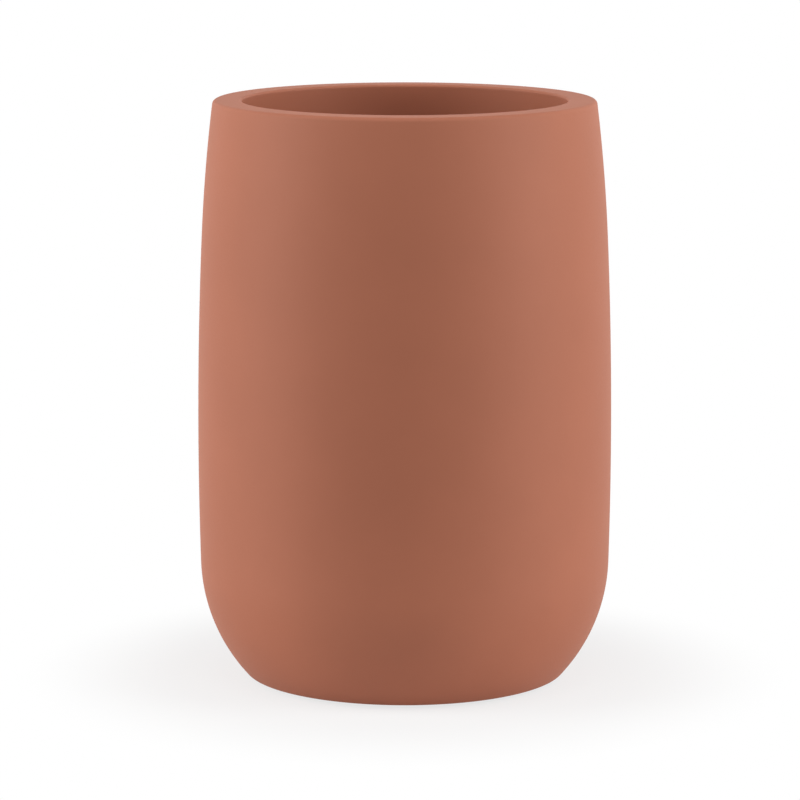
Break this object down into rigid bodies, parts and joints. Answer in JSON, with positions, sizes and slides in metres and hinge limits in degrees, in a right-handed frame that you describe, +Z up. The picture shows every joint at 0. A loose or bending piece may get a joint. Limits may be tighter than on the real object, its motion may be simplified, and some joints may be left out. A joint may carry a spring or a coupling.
{
  "type": "bathroom tumbler",
  "caption": "Barrel-shaped bathroom tumbler with a thick flat rim, a round shoulder and a foam pad under its flat base, for rinsing or for holding toothbrushes.",
  "frame": {"origin": "on the cup's axis, at the underside of the foam pad, where it meets the surface that it stands on", "axes": "+Z is up along the cup's axis; the cup is round, so X and Y are free, and the picture is taken looking along +Y"},
  "size_m": [0.0784, 0.0784, 0.11],
  "materials": {
    "cast_resin": "matte",
    "foam": "matte",
    "adhesive_film": "satin"
  },
  "bodies": {
    "root": {"tumbler_body": "cast_resin", "base_pad": "foam", "pad_adhesive": "adhesive_film"}
  },
  "joints": []
}
